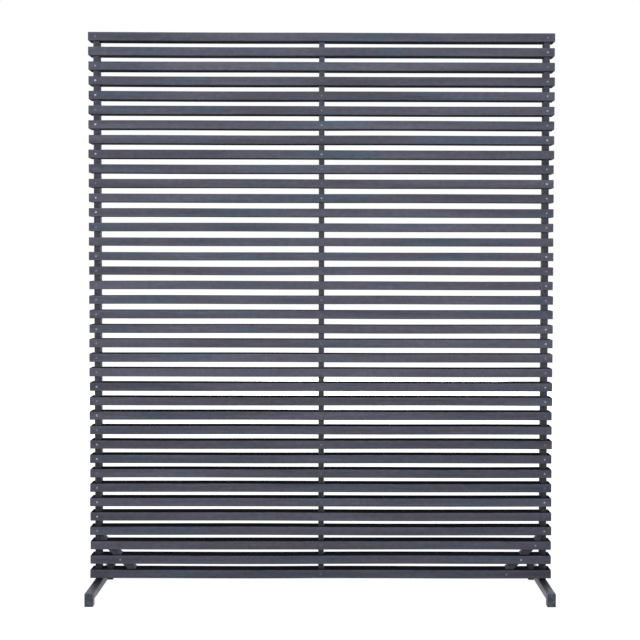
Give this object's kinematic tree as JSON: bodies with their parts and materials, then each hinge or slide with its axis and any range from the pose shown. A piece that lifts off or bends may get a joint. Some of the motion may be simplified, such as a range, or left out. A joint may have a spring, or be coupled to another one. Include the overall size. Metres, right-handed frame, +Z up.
{
  "type": "garden privacy screen",
  "caption": "Free-standing garden screen of level dark-stained slats housed over upright posts, with braced lower corners and low feet",
  "frame": {"origin": "on the floor, midway between the two feet and midway along them", "axes": "+Z up, +X along the slats to the viewer's right, -Y out of the front of the screen"},
  "size_m": [1.5, 0.31, 1.813],
  "materials": {
    "stained_wood": "sawn softwood with a dark blue-grey stain, matt to satin",
    "screw_steel": "plain zinc-plated steel, slightly weathered"
  },
  "bodies": {
    "root": {"slat_01": "stained_wood", "slat_02": "stained_wood", "slat_03": "stained_wood", "slat_04": "stained_wood", "slat_05": "stained_wood", "slat_06": "stained_wood", "slat_07": "stained_wood", "slat_08": "stained_wood", "slat_09": "stained_wood", "slat_10": "stained_wood", "slat_11": "stained_wood", "slat_12": "stained_wood", "slat_13": "stained_wood", "slat_14": "stained_wood", "slat_15": "stained_wood", "slat_16": "stained_wood", "slat_17": "stained_wood", "slat_18": "stained_wood", "slat_19": "stained_wood", "slat_20": "stained_wood", "slat_21": "stained_wood", "slat_22": "stained_wood", "slat_23": "stained_wood", "slat_24": "stained_wood", "slat_25": "stained_wood", "slat_26": "stained_wood", "slat_27": "stained_wood", "slat_28": "stained_wood", "slat_29": "stained_wood", "slat_30": "stained_wood", "slat_31": "stained_wood", "slat_32": "stained_wood", "slat_33": "stained_wood", "slat_34": "stained_wood", "slat_35": "stained_wood", "slat_36": "stained_wood", "slat_37": "stained_wood", "slat_38": "stained_wood", "left_post": "stained_wood", "middle_post": "stained_wood", "right_post": "stained_wood", "left_foot_beam": "stained_wood", "right_foot_beam": "stained_wood", "left_front_sole": "stained_wood", "left_rear_sole": "stained_wood", "right_front_sole": "stained_wood", "right_rear_sole": "stained_wood", "left_brace": "stained_wood", "right_brace": "stained_wood", "left_stub": "stained_wood", "right_stub": "stained_wood", "left_post_screws": "screw_steel", "middle_post_screws": "screw_steel", "right_post_screws": "screw_steel", "left_brace_screws": "screw_steel", "right_brace_screws": "screw_steel", "left_foot_screws": "screw_steel", "right_foot_screws": "screw_steel"}
  },
  "joints": []
}
